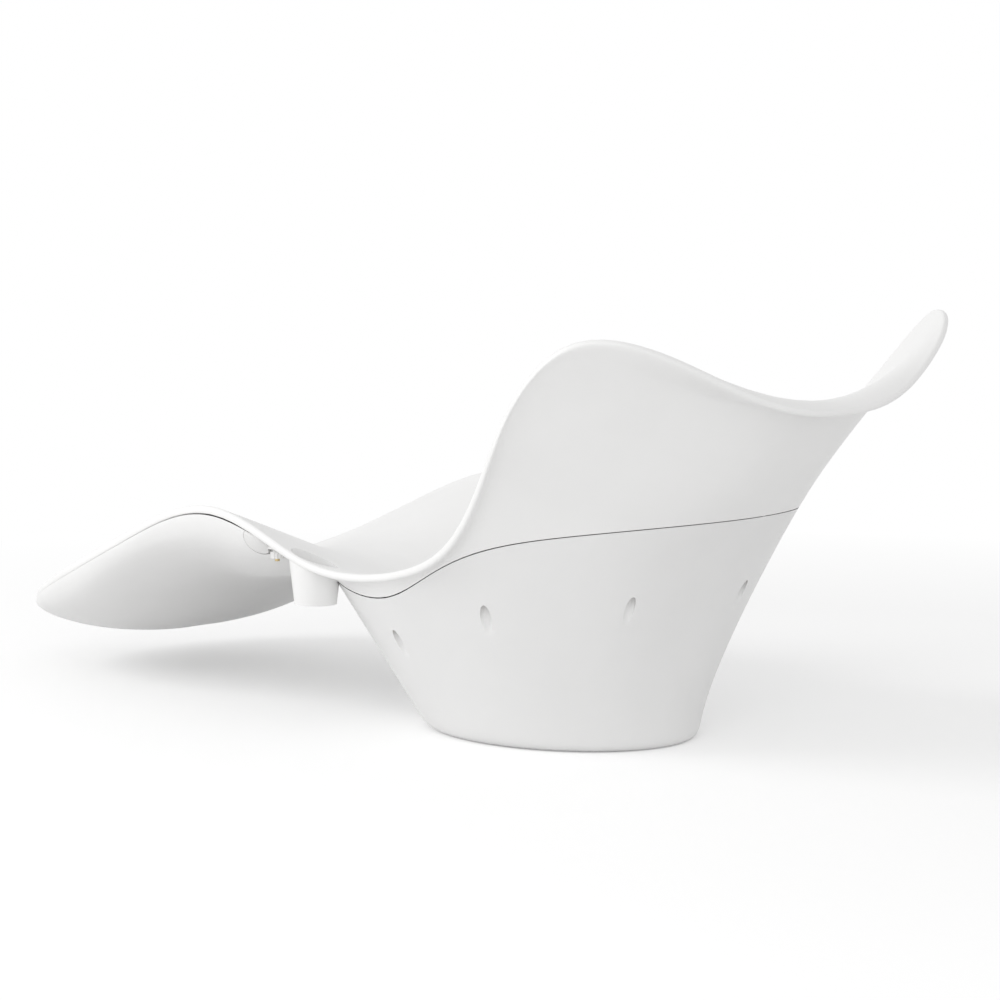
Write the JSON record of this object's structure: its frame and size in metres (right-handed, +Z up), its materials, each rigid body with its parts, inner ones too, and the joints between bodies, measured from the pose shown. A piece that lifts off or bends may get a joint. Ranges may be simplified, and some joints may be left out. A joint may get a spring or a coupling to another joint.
{
  "type": "in-pool sun lounger",
  "caption": "White in-pool sun lounger: a moulded reclining shell with winged back and cup holder on a flared tub base, with a leg float held by hand nuts.",
  "frame": {"origin": "middle of the tub's flat underside, on the floor", "axes": "+X towards the head end, +Y to the sitter's right, +Z up"},
  "size_m": [1.7962, 0.8981, 0.7042],
  "materials": {
    "seat_plastic": "white moulded plastic, satin",
    "tub_plastic": "white moulded plastic, satin",
    "float_plastic": "white moulded plastic, satin",
    "bracket_plastic": "white moulded plastic, satin",
    "nut_plastic": "white moulded plastic, satin",
    "stud_brass": "plain",
    "bolt_steel": "slightly tarnished",
    "washer_steel": "plain",
    "insert_brass": "plain",
    "plug_plastic": "white moulded plastic",
    "seal_rubber": "plain",
    "ballast_iron": "coated"
  },
  "bodies": {
    "lounger": {"seat_shell": "seat_plastic", "base_tub": "tub_plastic", "leg_float": "float_plastic", "left_float_bracket": "bracket_plastic", "right_float_bracket": "bracket_plastic", "float_studs": "stud_brass", "stud_washers": "washer_steel", "base_bolts": "bolt_steel", "base_washers": "washer_steel", "base_inserts": "insert_brass", "float_vent_plug": "plug_plastic", "vent_plug_seal": "seal_rubber", "ballast_plate": "ballast_iron", "ballast_screws": "bolt_steel", "ballast_washers": "washer_steel"},
    "left_nut": {"left_knob_nut": "nut_plastic"},
    "right_nut": {"right_knob_nut": "nut_plastic"}
  },
  "joints": [
    {"name": "left_nut_turn", "type": "hinge", "parent": "lounger", "child": "left_nut", "pos_m": [-0.34, -0.32891, 0.29267], "axis": [0, 0, 1], "continuous": true},
    {"name": "right_nut_turn", "type": "hinge", "parent": "lounger", "child": "right_nut", "pos_m": [-0.34, 0.32891, 0.29267], "axis": [0, 0, 1], "continuous": true}
  ]
}
